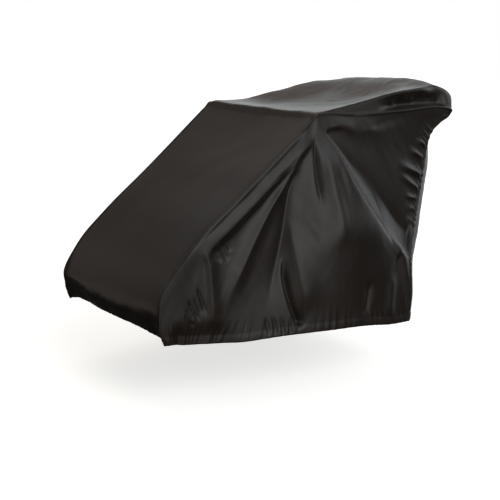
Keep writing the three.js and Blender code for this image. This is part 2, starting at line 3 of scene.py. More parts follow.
import bpy
import numpy as np
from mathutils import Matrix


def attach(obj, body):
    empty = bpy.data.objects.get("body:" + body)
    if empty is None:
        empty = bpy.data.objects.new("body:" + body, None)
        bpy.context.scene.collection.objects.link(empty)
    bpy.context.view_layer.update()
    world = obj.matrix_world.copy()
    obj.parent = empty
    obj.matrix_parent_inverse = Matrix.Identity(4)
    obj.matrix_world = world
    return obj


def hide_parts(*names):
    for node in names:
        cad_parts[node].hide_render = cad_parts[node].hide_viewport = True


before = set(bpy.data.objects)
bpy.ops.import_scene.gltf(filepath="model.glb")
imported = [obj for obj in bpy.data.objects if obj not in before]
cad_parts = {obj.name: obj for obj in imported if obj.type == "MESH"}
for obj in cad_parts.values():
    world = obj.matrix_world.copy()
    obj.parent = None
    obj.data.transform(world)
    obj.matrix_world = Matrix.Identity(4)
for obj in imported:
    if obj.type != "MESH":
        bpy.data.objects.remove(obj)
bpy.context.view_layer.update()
print("frame loaded")

# Camera: where the cover was seen from, at its front left and a little above.
photoView = {"azimuth": 54.7146, "elevation": 12.4171, "place": (2.9411, -2.2337, 0.2969),
             "lens": 75.0, "sensor": 36.0, "reach": 60.0}


def addCamera(settings):
    data = bpy.data.cameras.new("photoCamera")
    data.sensor_width = settings["sensor"]
    data.lens = settings["lens"]
    data.clip_end = settings["reach"]
    camera = bpy.data.objects.new("photoCamera", data)
    camera.location = settings["place"]
    camera.rotation_euler = (math.radians(90.0 - settings["elevation"]), 0.0,
                             math.radians(settings["azimuth"]))
    bpy.context.collection.objects.link(camera)
    bpy.context.scene.camera = camera


addCamera(photoView)

# The cloth is worked out in millimetres, with heights above the ground, and set into the frame at the end.
mm = 0.001
groundDrop = np.array([0.0, 100.0, 879.0])  # the frame's origin in those measures

cut = {
    "cloth": 1.2,          # thickness of the coated nylon with its seams
    "hemBand": 28.0,       # turned-up hem with the elastic in it
    "hemSwell": 2.0,       # how proud the hem stands
    "hemStep": 3.0,        # width of the step up to it
    "seamFell": 7.0,       # half width of the bead of the felled seam
    "seamRise": 3.2,       # height of the bead
    # small waves of the rear seam: how far out and back they go, and over what they start and end
    "pucker": {"spacing": 26.0, "out": 1.3, "back": 1.6, "start": 60.0, "end": 40.0},
    "seamNames": ("front hem", "lip", "nose", "brow", "knee", "slope", "slope top", "roof edge",
                  "roof front", "roof", "dip", "rise", "crest front", "crest top", "crest back",
                  "crest under", "hollow", "tuck", "rear top", "rear upper", "rear", "rear waist",
                  "rear lower", "rear skirt", "rear hem"),
    # seam: x, y, z on the left; how far the right seam is off it in y and z
    "seam": ((328, -598, 214), (329, -617, 268), (327, -613, 336), (324, -575, 411), (320, -461, 526),
             (316, -280, 663), (311, -26, 859), (310, 0, 879), (309, 34, 880), (307, 130, 873),
             (306, 250, 870), (304, 400, 872), (300, 520, 877), (298, 578, 873), (296, 624, 861),
             (294, 608, 842), (298, 566, 824), (300, 520, 790), (302, 500, 750), (310, 478, 668),
             (324, 448, 586), (352, 399, 465), (408, 337, 350), (422, 329, 245), (419, 322, 158)),
    "rightOff": ((3, 6), (5, 4), (-4, -16), (9, -3), (4, -9), (1, -3), (-8, 5), (-13, 3), (-8, 0), (-2, -9),
                 (-4, -12), (-3, -5), (0, -2), (2, -3), (2, -2), (0, 1), (-2, 2), (-4, 4), (-5, 3), (-3, 0),
                 (2, -3), (4, -4), (3, -3), (0, -2), (-2, 3)),
    # lines inside the seam, each x, y, z
    "shoulder": ((300, -600, 230), (300, -621, 291), (298, -609, 334), (296, -573, 414), (292, -459, 529),
                 (290, -279, 667), (287, -24, 864), (287, -1, 884), (292, 34, 888), (293, 130, 900),
                 (286, 250, 921), (280, 400, 942), (272, 505, 950), (268, 562, 950), (268, 642, 912),
                 (260, 648, 866), (262, 582, 829), (268, 544, 790), (271, 530, 745), (279, 512, 660),
                 (294, 483, 578), (324, 434, 460), (381, 371, 346), (400, 357, 243), (397, 349, 160)),
    "quarter": ((160, -600, 236), (160, -622, 285), (160, -605, 330), (160, -566, 411), (158, -453, 523),
                (156, -274, 663), (155, -23, 861), (155, 0, 884), (155, 34, 885), (156, 130, 884),
                (154, 250, 890), (150, 400, 914), (146, 522, 953), (144, 588, 965), (143, 655, 934),
                (142, 664, 880), (143, 642, 838), (146, 616, 796), (152, 584, 726), (172, 520, 632),
                (190, 462, 542), (205, 415, 441), (212, 386, 331), (215, 376, 236), (212, 362, 160)),
    "middle": ((0, -600, 236), (0, -622, 284), (0, -604, 329), (0, -564, 409), (0, -451, 520),
               (0, -271, 660), (0, -22, 860), (0, 0, 884), (0, 34, 884), (0, 130, 881), (0, 250, 883),
               (0, 400, 905), (0, 530, 953), (0, 602, 967), (0, 666, 938), (0, 676, 884), (0, 660, 840),
               (0, 640, 796), (0, 602, 718), (0, 538, 620), (0, 480, 530), (0, 430, 432), (0, 396, 324),
               (0, 383, 233), (0, 366, 160)),
    # where the far quarter, the middle, the quarter, the shoulder and the seam lie across a half row
    "acrossKnots": (-0.5, 0.0, 0.5, 0.87, 1.0),
    # side panel strips: y at the seam above, foot on the hem (x, y, z) or height on the rear seam, and the
    # share of the way down at which the strip has swelled to its full width
    "strips": ((-575, (328, -598, 214), 1.0), (-530, (336, -574, 211), 1.0), (-440, (345, -528, 203), 1.0),
               (-330, (352, -482, 199), 1.0), (-220, (362, -415, 193), 1.0), (-120, (373, -345, 190), 0.95),
               (-56, (386, -268, 191), 0.85), (-18, (408, -184, 194), 0.72), (10, (425, -100, 193), 0.62),
               (32, (435, -15, 190), 0.56), (54, (439, 70, 186), 0.54), (78, (436, 150, 177), 0.56),
               (106, (432, 232, 165), 0.6), (140, (419, 322, 158), 0.65), (149, 184, 0.66),
               (153, 187, 0.66), (171, 250, 0.7), (194, 330, 0.75), (218, 410, 0.8), (244, 500, 0.85),
               (276, 590, 0.9), (318, 675, 0.95), (374, 745, 1.0), (448, 797, 1.0), (556, 833, 1.0)),
    "corner": 13,          # the strip that ends at the rear corner of the hem
    "rightSag": (5.0, 2.1),  # height and pitch of the right hem's own waves
    # strips over which the nose and the crest's end swell the side panel, and how soon that fades
    "bulge": {"front": (5.0, 2.0), "back": (1.0, 1.5)},
}


def through(knots, values, at):
    # smooth curve through values at rising knots, without overshoot
    knots = np.asarray(knots, float)
    values = np.asarray(values, float)
    at = np.asarray(at, float)
    shape = (-1,) + (1,) * (values.ndim - 1)
    steps = np.diff(knots).reshape(shape)
    chord = np.diff(values, axis=0) / steps
    before, after = chord[:-1], chord[1:]
    same = before * after > 0
    total = np.where(same, before + after, 1.0)
    slope = np.concatenate([chord[:1], np.where(same, 2 * before * after / total, 0.0), chord[-1:]])
    k = np.clip(np.searchsorted(knots, at, side="right") - 1, 0, len(knots) - 2)
    width = knots[k + 1] - knots[k]
    s = (at - knots[k]) / width
    extra = (...,) + (None,) * (values.ndim - 1)
    s, width = s[extra], width[extra]
    rising = s * s * (3 - 2 * s)
    bend = slope[k] * s * (1 - s) ** 2 - slope[k + 1] * s * s * (1 - s)
    return values[k] * (1 - rising) + values[k + 1] * rising + width * bend


def ease(share):
    share = np.clip(share, 0.0, 1.0)
    return share * share * (3 - 2 * share)


def grow(value, none, full):
    # 0 where the value is at none, 1 where it is at full, smooth between
    return ease((value - none) / (full - none))


def mix(a, b, share):
    return a + (b - a) * share


def lengthAlong(points, axis=0):
    # running length of the lines through points
    steps = np.linalg.norm(np.diff(points, axis=axis), axis=-1)
    return np.insert(np.cumsum(steps, axis=axis), 0, 0.0, axis=axis)


def gather(along, spacing, seed):
    # uneven waves along a gathered edge; the odd ratios keep them from repeating
    chance = np.random.default_rng(seed + 20)
    drift = sum(np.sin(along * math.tau / (spacing * w) + chance.uniform(0, math.tau))
                for w in (5.3, 8.9, 13.7))
    phase = along * math.tau / spacing + 1.5 * drift
    swell = 0.65 + 0.35 * np.sin(along * math.tau / (spacing * 6.1) + chance.uniform(0, math.tau))
    return swell * (0.75 * np.sin(phase) + 0.25 * np.sin(2.13 * phase + 1.0))


def gathers(along, waves):
    return sum(height * gather(along, spacing, seed) for height, spacing, seed in waves)


def ripple(u, v, size, seed, stretch=1.0):
    # smooth uneven field, about -1 to 1, of that size in mm; stretch draws it out along v
    chance = np.random.default_rng(seed + 100)
    turn = [chance.uniform(0, math.tau) for _ in range(4)]
    warpU = u + 0.35 * size * np.sin(v * math.tau / (2.7 * size) + turn[0])
    warpV = v / stretch + 0.35 * size * np.sin(u * math.tau / (2.3 * size) + turn[1])
    total = np.zeros(np.broadcast(u, v).shape)
    for _ in range(8):
        angle = chance.uniform(0, math.tau)
        wave = size * chance.uniform(0.7, 1.6)
        across = warpU * math.cos(angle) + warpV * math.sin(angle)
        total = total + np.sin(across * math.tau / wave + chance.uniform(0, math.tau))
    return total / 3.2


seamLine = np.array(cut["seam"], float)
seamKnots = lengthAlong(seamLine)
seamMark = dict(zip(cut["seamNames"], seamKnots))
seamEnd = seamKnots[-1]
left, right = 1, -1  # the sign of x on each side


def seamPoint(along, which):
    along = np.asarray(along, float)
    points = through(seamKnots, seamLine, along) * (which, 1, 1)
    if which == right:
        points[..., 1:] += through(seamKnots, np.array(cut["rightOff"], float), along)
    return points


def seamWhere(axis, value, start, end):
    # how far along the seam its x, y or z passes the value, between two of its marks
    def plain(at):
        return through(seamKnots, seamLine, np.array([at]))[0][axis]

    low, high = seamMark[start], seamMark[end]
    rising = plain(high) > plain(low)
    for _ in range(40):
        middle = (low + high) / 2
        if (plain(middle) < value) == rising:
            low = middle
        else:
            high = middle
    return (low + high) / 2


def seamPucker(along, which):
    # the gathering thread of the rear seam draws it into small waves
    pucker = cut["pucker"]
    held = ease((along - seamMark["hollow"]) / pucker["start"]) * ease((seamEnd - along) / pucker["end"])
    wave = held * gather(along, pucker["spacing"], 3 + which)
    return np.stack([which * pucker["out"] * wave, pucker["back"] * wave, 0 * wave], axis=-1)


def nearestOn(u, v, points):
    # distance to a smooth line through points, which side of it, and how far along it
    line = np.array(points, float)
    marks = lengthAlong(line)
    total = marks[-1]
    stops = np.linspace(0, total, 5 * len(line) + 1)  # some five straight steps from point to point
    smooth = through(marks, line, stops) if len(line) > 2 else mix(line[0], line[1], stops[:, None] / total)
    best = np.full(u.shape, np.inf)
    side = np.zeros(u.shape)
    share = np.zeros(u.shape)
    for (a, b), startMark, endMark in zip(zip(smooth[:-1], smooth[1:]), stops[:-1], stops[1:]):
        du, dv = b - a
        t = np.clip(((u - a[0]) * du + (v - a[1]) * dv) / (du * du + dv * dv), 0, 1)
        away = np.hypot(u - a[0] - t * du, v - a[1] - t * dv)
        nearer = away < best
        best = np.where(nearer, away, best)
        side = np.where(nearer, np.sign((u - a[0]) * dv - (v - a[1]) * du), side)
        share = np.where(nearer, mix(startMark, endMark, t) / total, share)
    return best, side, share


# What a fold has where its row says nothing else: a low edge number gives it a sharp crest, a high one a
# round one; round blunts the very crest; fade has the shares of the line over which it starts and ends.
usualFold = {"edge": 1.8, "round": 0.01, "fade": (0.3, 0.3)}


def foldField(u, v, folds, rightKey, leftKey):
    # folds along drawn lines, with a width on either side that changes evenly along the line
    total = np.zeros(u.shape)
    for row in folds:
        fold = usualFold | row
        away, side, share = nearestOn(u, v, fold["line"])
        width = np.where(side > 0, mix(*fold[rightKey], share), mix(*fold[leftKey], share))
        flank = np.exp(-np.sqrt((away / width) ** 2 + fold["round"]) ** fold["edge"])
        fadeIn, fadeOut = fold["fade"]
        total += fold["rise"] * ease(share / fadeIn) * ease((1 - share) / fadeOut) * flank
    return total


def hollowDepth(y, z, x, hollow):
    # a hollow whose floor is spanned between drawn lines of (y, z, x) points: the trough at the foot of
    # its even bank, with the bank's width as a fourth number, the break above it and the rear seam
    reach = weight = 0
    for name in ("trough", "brink", "seam"):
        line = np.array(hollow[name], float)
        marks = lengthAlong(line[:, :2])
        away, side, share = nearestOn(y, z, line[:, :2])
        signed = np.where(side > 0, away, -away)
        hold = (away + 1) ** -hollow["pull"]
        reach = reach + through(marks, line[:, 2], share * marks[-1]) * hold
        weight = weight + hold
        if name == "trough":
            up = signed / through(marks, line[:, 3], share * marks[-1])
            foot, head = (np.sqrt((up - end) ** 2 + hollow["round"]) for end in (0, 1))
            bank = 1 - 0.5 * (1 + foot - head)
        if name == "brink":
            soft = mix(*hollow["soft"], share)
            under = grow(signed, -0.5 * soft, 0.5 * soft)
    return bank * under * (reach / weight - x)


def outwardOf(grid, facing):
    across = np.cross(np.gradient(grid, axis=0), np.gradient(grid, axis=1)) * facing
    return across / np.maximum(np.linalg.norm(across, axis=-1, keepdims=True), 1e-9)


# Centre panel: over the slope, the roof and the raised crest, and down the rear. A pair of distances says
# where something is not felt yet and where it is felt in full.
centre = {
    "rowStep": 5.5,
    # distances from the seam of the columns close to it
    "edgeSteps": (0.0, 1.5, 3.5, 6.0, 9.0, 12.0, 15.5, 19.0, 23.0, 27.5, 33.0, 40.0),
    "columnStep": 9.0,
    "endsHold": {"seam": (3, 12), "inward": (78, 38), "crest": (60, 0)},
    "rearHolds": {"crest": (0, 200), "inward": (0, 40), "hem": (0, 60)},
    "slopeHolds": {"lip": (0, 40), "roof": (0, 60)},
    "free": (0, 40),       # inward from the seam, where the cloth starts to be uneven
    "puckered": (45, 0),   # inward from the seam
    # unevenness of the cloth: its height, how much less it is on the slope, its size and its seed
    "ripples": ((1.6, 1.3, 170, 1), (0.5, 0.5, 60, 2)),
    # gathers of the hems: distance from the hem, and the height, spacing and seed of each wave
    "lipGathers": {"reach": (110, 20), "waves": ((1.2, 21.0, 4), (0.5, 11.0, 5))},
    "rearGathers": {"reach": (160, 20), "waves": ((2.2, 24.0, 6),)},
    # crumples on the two ends of the crest, drawn as (y, z) lines; under and over are their flanks
    "endFolds": (
        {"line": ((150, 912), (297, 938), (430, 944), (560, 930)), "rise": 13, "under": (14, 22),
         "over": (16, 26), "fade": (0.5, 0.2)},
        {"line": ((250, 884), (340, 889), (430, 893), (520, 893), (600, 880)), "rise": -24,
         "under": (8, 10), "over": (20, 32), "edge": 1.9, "fade": (0.35, 0.1)},
        {"line": ((372, 915), (428, 908), (452, 890)), "rise": 6, "under": (6, 6), "over": (6, 6),
         "edge": 1.5},
        {"line": ((322, 906), (352, 892), (366, 882)), "rise": 5, "under": (6, 6), "over": (6, 6),
         "edge": 1.5},
        {"line": ((430, 920), (500, 914), (560, 905)), "rise": -7, "under": (6, 6), "over": (7, 7),
         "edge": 1.5},
        {"line": ((470, 900), (530, 906), (590, 896)), "rise": 4, "under": (5, 5), "over": (5, 5),
         "edge": 1.5},
        {"line": ((548, 880), (602, 868)), "rise": 4, "under": (5, 5), "over": (5, 5), "edge": 1.5},
        {"line": ((540, 892), (600, 882)), "rise": 4, "under": (5, 5), "over": (5, 5), "edge": 1.5},
    ),
    # rear folds, drawn as (x, z) lines; right and left are the widths of their flanks at each end
    "rearFolds": (
        {"line": ((232, 830), (330, 240)), "rise": 22, "left": (40, 56), "right": (36, 50)},
        {"line": ((-236, 830), (-318, 260)), "rise": 20, "left": (36, 50), "right": (40, 56)},
        {"line": ((150, 800), (196, 260)), "rise": -15, "left": (40, 60), "right": (36, 54)},
        {"line": ((-120, 800), (-205, 250)), "rise": -14, "left": (36, 54), "right": (42, 63)},
        {"line": ((20, 820), (60, 230)), "rise": 12, "left": (38, 60), "right": (38, 60)},
        {"line": ((-60, 640), (-90, 230)), "rise": -8, "left": (26, 34), "right": (28, 36)},
    ),
}


def centreGrid(panel):
    # half of each row is spanned from the middle line to the seam, and set on both sides
    stops = np.linspace(0, seamEnd, int(seamEnd / panel["rowStep"]) + 1)
    lines = [through(seamKnots, np.array(cut[name], float), stops)
             for name in ("middle", "quarter", "shoulder", "seam")]
    offs = through(seamKnots, np.array(cut["rightOff"], float), stops)
    widest = seamLine[:, 0].max()
    inner = int((widest - panel["edgeSteps"][-1]) / panel["columnStep"])
    rows = []
    for row in range(len(stops)):
        middle, quarter, shoulder, seam = (line[row] for line in lines)
        edge = [1 - step / seam[0] for step in panel["edgeSteps"]]
        shares = np.array(edge[:-1] + list(np.linspace(edge[-1], 0, inner + 1)))
        flipped = quarter * (-1, 1, 1)
        leftHalf = through(cut["acrossKnots"], np.array([flipped, middle, quarter, shoulder, seam]), shares)
        rightHalf = leftHalf * (-1, 1, 1)
        rightHalf[:, 1:] += offs[row] * ease(shares)[:, None]
        rows.append(np.concatenate([rightHalf, leftHalf[:-1][::-1]]))
    shareRow = np.concatenate([-shares, shares[:-1][::-1]])  # of the last row, near enough for all
    return np.array(rows), stops, shareRow


def shapeCentre(panel):
    grid, stops, shareRow = centreGrid(panel)
    along = stops[:, None] + 0 * shareRow[None, :]
    inward = (1 - np.abs(shareRow)[None, :]) * seamPoint(stops, left)[:, [0]]
    fromSeam = np.minimum(*(np.linalg.norm(grid - grid[:, [edge]], axis=-1) for edge in (0, -1)))
    fromRear = seamEnd - along
    pastCrest = along - seamMark["crest back"]
    x, y, z = (grid[..., axis].copy() for axis in range(3))
    hold = panel["endsHold"]
    onEnd = grow(fromSeam, *hold["seam"]) * grow(inward, *hold["inward"]) * grow(pastCrest, *hold["crest"])
    grid[..., 0] += np.sign(shareRow) * onEnd * foldField(y, z, panel["endFolds"], "under", "over")
    hold = panel["rearHolds"]
    onRear = grow(pastCrest, *hold["crest"]) * grow(inward, *hold["inward"]) * grow(fromRear, *hold["hem"])
    grid[..., 1] += onRear * foldField(x, z, panel["rearFolds"], "right", "left")
    out = outwardOf(grid, -1)
    # the felled seam, the hem band and the cloth's own unevenness
    fell = cut["seamRise"] * grow(fromSeam, cut["seamFell"], 0)
    hem = cut["hemSwell"] * ease((cut["hemBand"] - np.minimum(along, fromRear)) / cut["hemStep"])
    hold = panel["slopeHolds"]
    onSlope = grow(along - seamMark["lip"], *hold["lip"]) * grow(seamMark["roof edge"] - along, *hold["roof"])
    uneven = sum((height - calmed * onSlope) * ripple(x, along, size, seed)
                 for height, calmed, size, seed in panel["ripples"])
    for name, fromHem in (("lipGathers", along), ("rearGathers", fromRear)):
        uneven = uneven + grow(fromHem, *panel[name]["reach"]) * gathers(x, panel[name]["waves"])
    grid = grid + out * (fell + hem + grow(inward, *panel["free"]) * uneven)[..., None]
    sideOf = np.where(shareRow < 0, 0, 1)
    puckers = np.stack([seamPucker(stops, right), seamPucker(stops, left)])[sideOf].transpose(1, 0, 2)
    return grid + grow(inward, *panel["puckered"])[..., None] * puckers, stops


# Side panels: hung from the seam, with folds that fan out from the corner of the roof. Again a pair of
# distances says where something is not felt yet and where it is felt in full.
sideCloth = {
    "columnStep": 4.6,
    "rows": 108,
    "topSteps": (0.0, 2.0, 5.0, 9.0, 14.0),  # rows close to the seam
    "bandSteps": (20.0, 11.0, 5.0, 0.0),     # rows within the hem band, up from its edge
    "evenStrips": 3,       # strips past the corner in which the rows turn to even shares of the way down
    "swellRound": 0.05,    # how gently the swelling of a strip ends
    "foldsHold": {"top": 20, "front": 20, "back": 40, "foot": 16, "rearFoot": 26},  # from 0 at each edge
    # the front of the hem is drawn in: along y from the front and from the rear, and up from the hem
    "turnUnder": {"depth": 18, "front": (-592, -552), "rear": (-320, -430), "up": (90, 0)},
    "hemEnds": {"front": (0, 0.3), "rear": (0, 0.15)},  # in strips
    "gathers": {"reach": (95, 10), "waves": ((1.3, 33.0, 7), (0.6, 13.0, 8))},
    "puckers": {"reach": (60, 2), "swell": 1.6},
    # unevenness of the cloth: its height, size, seed and how far it is drawn out downwards
    "ripples": ((0.8, 130, 11, 1.6), (0.2, 40, 12, 1.8)),
    "free": (0, 30),
}

# The hollow of each side has its three lines, how soon a line loses its hold on the floor (pull), how
# rounded the bank is, and how soft the break is at its two ends. Each fold is drawn as a line of (y, z)
# points; front and back are the widths of its flanks at its two ends.
leftPanel = {
    "hollow": {
        "trough": ((26, 816, 322, 9), (60, 777, 330, 18), (98, 732, 337, 36), (183, 662, 341, 74),
                   (256, 572, 346, 86), (315, 503, 345, 88), (385, 448, 345, 90)),
        "brink": ((10, 822, 319), (36, 827, 319), (61, 833, 319), (110, 824, 321), (170, 816, 322),
                  (230, 818, 320), (300, 828, 314), (364, 836, 308), (450, 842, 302), (560, 846, 298)),
        "soft": (5, 60), "pull": 1.5, "round": 0.004,
        "seam": ((520, 800, 300), (500, 750, 302), (478, 668, 310), (448, 586, 324), (399, 465, 350)),
    },
    "folds": (
        # along the slope's edge, with the thin crease below it
        {"line": ((-20, 822), (-76, 772), (-176, 693), (-256, 631), (-346, 563), (-439, 492), (-490, 430)),
         "rise": 17, "front": (30, 38), "back": (12, 22), "edge": 2.0, "fade": (0.15, 0.3)},
        {"line": ((-84, 760), (-101, 750), (-134, 722), (-192, 680), (-240, 645)), "rise": -3.5,
         "front": (6, 9), "back": (6, 10), "edge": 1.2, "fade": (0.2, 0.5)},
        # the crisp ridge to the front of the hem and the hollow behind it
        {"line": ((-80, 762), (-108, 728), (-150, 674), (-204, 610), (-257, 538), (-311, 454), (-372, 352),
                  (-408, 262)), "rise": 14, "front": (9, 36), "back": (12, 40), "edge": 1.3,
         "fade": (0.12, 0.3)},
        {"line": ((-108, 715), (-126, 668), (-146, 604), (-168, 522), (-199, 430), (-236, 337),
                  (-270, 250)), "rise": -12, "front": (12, 40), "back": (10, 22), "edge": 1.2,
         "fade": (0.15, 0.45)},
        # the deep crease under the corner and the ridge behind it
        {"line": ((-176, 462), (-178, 430), (-181, 389), (-178, 339), (-168, 287), (-143, 212)),
         "rise": -24, "front": (7, 10), "back": (8, 11), "edge": 1.5, "fade": (0.4, 0.08)},
        {"line": ((-140, 560), (-152, 470), (-146, 388), (-136, 321), (-122, 240)), "rise": 11,
         "front": (12, 14), "back": (34, 56)},
        {"line": ((-28, 806), (-35, 699), (-40, 574)), "rise": -13, "front": (5, 9), "back": (6, 11),
         "edge": 1.4, "fade": (0.3, 0.5)},
        {"line": ((0, 790), (8, 671), (16, 558), (2, 440)), "rise": 7, "front": (16, 30), "back": (16, 34)},
        {"line": ((40, 750), (55, 606), (36, 470)), "rise": -3, "front": (12, 24), "back": (14, 26)},
        # the belly of the panel
        {"line": ((-130, 430), (-11, 500), (60, 515), (134, 500), (240, 440)), "rise": 7, "front": (60, 60),
         "back": (60, 60), "edge": 2.0},
        # the ridge to the rear seam, and the one over the hollow above it
        {"line": ((20, 806), (60, 722), (96, 653), (156, 556), (217, 489), (300, 405)), "rise": 7,
         "front": (30, 80), "back": (10, 20), "edge": 1.9, "fade": (0.15, 0.05)},
        {"line": ((36, 838), (80, 843), (160, 832), (220, 832)), "rise": 6, "front": (10, 26),
         "back": (20, 26), "edge": 1.7, "fade": (0.2, 0.7)},
        # wrinkles drawn in by the rear seam
        {"line": ((438, 774), (500, 742)), "rise": 6, "front": (9, 6), "back": (8, 6), "edge": 1.5,
         "fade": (0.5, 0.1)},
        {"line": ((396, 746), (490, 696)), "rise": 7, "front": (11, 7), "back": (9, 7), "edge": 1.5,
         "fade": (0.5, 0.1)},
        {"line": ((334, 700), (478, 640)), "rise": 10, "front": (16, 9), "back": (16, 9), "edge": 1.6,
         "fade": (0.5, 0.1)},
        {"line": ((338, 664), (462, 588)), "rise": 7, "front": (12, 8), "back": (12, 8), "edge": 1.5,
         "fade": (0.5, 0.1)},
        {"line": ((366, 583), (432, 566)), "rise": 5, "front": (7, 7), "back": (7, 7), "fade": (0.5, 0.1)},
        {"line": ((380, 545), (424, 524)), "rise": 5, "front": (7, 7), "back": (7, 7), "fade": (0.5, 0.1)},
        {"line": ((366, 516), (405, 476)), "rise": 5, "front": (7, 7), "back": (7, 7), "fade": (0.5, 0.1)},
        # the fan at the front corner
        {"line": ((-470, 510), (-442, 440), (-441, 340), (-446, 235)), "rise": 9, "front": (8, 13),
         "back": (22, 34), "edge": 1.7},
        {"line": ((-486, 384), (-473, 337), (-460, 290)), "rise": -4.5, "front": (5, 6), "back": (5, 6)},
        {"line": ((-500, 356), (-488, 325), (-470, 290)), "rise": -2.5, "front": (5, 6), "back": (5, 6)},
        {"line": ((-520, 350), (-504, 312), (-480, 270)), "rise": -3.8, "front": (5, 6), "back": (5, 6)},
        {"line": ((-530, 322), (-516, 300), (-502, 280)), "rise": -2, "front": (4, 6), "back": (4, 6)},
        {"line": ((-536, 306), (-520, 280), (-500, 258)), "rise": -3, "front": (4, 6), "back": (4, 6)},
        {"line": ((-424, 500), (-412, 470), (-398, 442)), "rise": -5, "front": (5, 6), "back": (5, 7),
         "edge": 1.4},
        {"line": ((-402, 513), (-386, 480), (-372, 445)), "rise": -6, "front": (5, 7), "back": (6, 8),
         "edge": 1.4},
        {"line": ((-379, 520), (-368, 498), (-361, 474)), "rise": -5, "front": (5, 6), "back": (6, 7),
         "edge": 1.4},
        # gathers of the hem under the deep crease
        {"line": ((-262, 262), (-250, 205)), "rise": -4, "front": (5, 6), "back": (5, 6),
         "fade": (0.5, 0.1)},
        {"line": ((-238, 268), (-228, 203)), "rise": -5, "front": (5, 6), "back": (5, 6),
         "fade": (0.5, 0.1)},
        {"line": ((-212, 262), (-204, 201)), "rise": -5, "front": (5, 6), "back": (5, 6),
         "fade": (0.5, 0.1)},
        {"line": ((-190, 256), (-180, 199)), "rise": -4, "front": (4, 6), "back": (4, 6),
         "fade": (0.5, 0.1)},
        # low folds near the rear of the hem
        {"line": ((135, 340), (105, 205)), "rise": -7, "front": (18, 16), "back": (13, 12), "edge": 1.5},
        {"line": ((240, 350), (222, 180)), "rise": 6, "front": (20, 22), "back": (18, 20)},
    ),
}
rightPanel = {
    "hollow": {
        "trough": ((30, 818, 320, 9), (66, 780, 329, 18), (106, 736, 335, 34), (190, 664, 340, 70),
                   (262, 578, 345, 80), (320, 510, 344, 82), (388, 452, 344, 84)),
        "brink": ((10, 824, 318), (36, 829, 318), (70, 836, 318), (120, 826, 320), (180, 820, 321),
                  (240, 822, 318), (300, 830, 313), (364, 838, 307), (450, 844, 302), (560, 848, 298)),
        "soft": (6, 60), "pull": 1.5, "round": 0.004,
        "seam": ((518, 804, 300), (496, 753, 302), (476, 668, 310), (450, 583, 324), (403, 461, 350)),
    },
    "folds": (
        {"line": ((-24, 822), (-84, 764), (-190, 678), (-280, 608), (-370, 532), (-446, 462), (-500, 400)),
         "rise": 18, "front": (28, 36), "back": (12, 22), "edge": 2.0, "fade": (0.15, 0.3)},
        {"line": ((-60, 768), (-140, 700), (-225, 630), (-350, 530)), "rise": -12, "front": (11, 16),
         "back": (20, 34), "edge": 1.4},
        {"line": ((-60, 765), (-150, 650), (-215, 560), (-285, 460), (-345, 360), (-395, 235)), "rise": 16,
         "front": (10, 38), "back": (9, 26), "edge": 1.4, "fade": (0.15, 0.2)},
        {"line": ((-100, 700), (-150, 590), (-200, 460), (-240, 330), (-262, 225)), "rise": -18,
         "front": (18, 40), "back": (18, 40), "edge": 2.0},
        {"line": ((-100, 500), (-118, 430), (-112, 330), (-100, 250), (-92, 200)), "rise": -24,
         "front": (12, 16), "back": (11, 14), "edge": 1.5, "fade": (0.4, 0.08)},
        {"line": ((-60, 650), (-78, 520), (-72, 400), (-58, 290), (-50, 215)), "rise": 13,
         "front": (14, 18), "back": (34, 56)},
        {"line": ((-20, 800), (-30, 680), (-52, 560)), "rise": 9, "front": (18, 30), "back": (20, 34)},
        {"line": ((12, 808), (22, 690), (34, 560)), "rise": -14, "front": (9, 16), "back": (10, 16),
         "edge": 1.4, "fade": (0.3, 0.5)},
        {"line": ((36, 790), (64, 670), (92, 540), (110, 440)), "rise": 9, "front": (16, 28),
         "back": (16, 30)},
        {"line": ((-20, 470), (0, 360), (14, 240)), "rise": -9, "front": (20, 26), "back": (20, 26)},
        {"line": ((20, 430), (120, 470), (220, 440)), "rise": 7, "front": (60, 60), "back": (60, 60)},
        {"line": ((24, 808), (68, 724), (106, 656), (166, 562), (226, 494), (306, 410)), "rise": 7,
         "front": (30, 76), "back": (10, 20), "edge": 1.9, "fade": (0.15, 0.05)},
        {"line": ((36, 842), (90, 846), (170, 834), (280, 836), (400, 846)), "rise": 8, "front": (12, 26),
         "back": (26, 26), "edge": 1.7, "fade": (0.2, 0.6)},
        {"line": ((402, 760), (490, 722)), "rise": 7, "front": (11, 7), "back": (9, 7), "edge": 1.5,
         "fade": (0.5, 0.1)},
        {"line": ((350, 712), (476, 664)), "rise": 9, "front": (14, 9), "back": (14, 9), "edge": 1.6,
         "fade": (0.5, 0.1)},
        {"line": ((352, 640), (458, 606)), "rise": 8, "front": (12, 8), "back": (12, 8), "edge": 1.5,
         "fade": (0.5, 0.1)},
        {"line": ((376, 580), (432, 552)), "rise": 5, "front": (7, 7), "back": (7, 7), "fade": (0.5, 0.1)},
        {"line": ((362, 520), (408, 492)), "rise": 5, "front": (7, 7), "back": (7, 7), "fade": (0.5, 0.1)},
        {"line": ((-480, 490), (-462, 420), (-468, 330), (-484, 238)), "rise": 12, "front": (12, 18),
         "back": (16, 24), "edge": 1.6},
        {"line": ((-400, 450), (-385, 340), (-378, 230)), "rise": 8, "front": (12, 18), "back": (12, 18)},
        {"line": ((-520, 400), (-498, 300)), "rise": 5, "front": (8, 8), "back": (8, 8)},
        {"line": ((-548, 338), (-492, 252)), "rise": 5, "front": (9, 9), "back": (9, 9)},
        {"line": ((-432, 508), (-410, 430)), "rise": -5, "front": (7, 9), "back": (7, 10), "edge": 1.4},
        {"line": ((60, 350), (66, 200)), "rise": -7, "front": (18, 16), "back": (13, 12), "edge": 1.5},
        {"line": ((182, 360), (196, 190)), "rise": 6, "front": (20, 22), "back": (18, 20)},
        {"line": ((290, 330), (300, 200)), "rise": 4, "front": (14, 14), "back": (12, 12)},
    ),
}


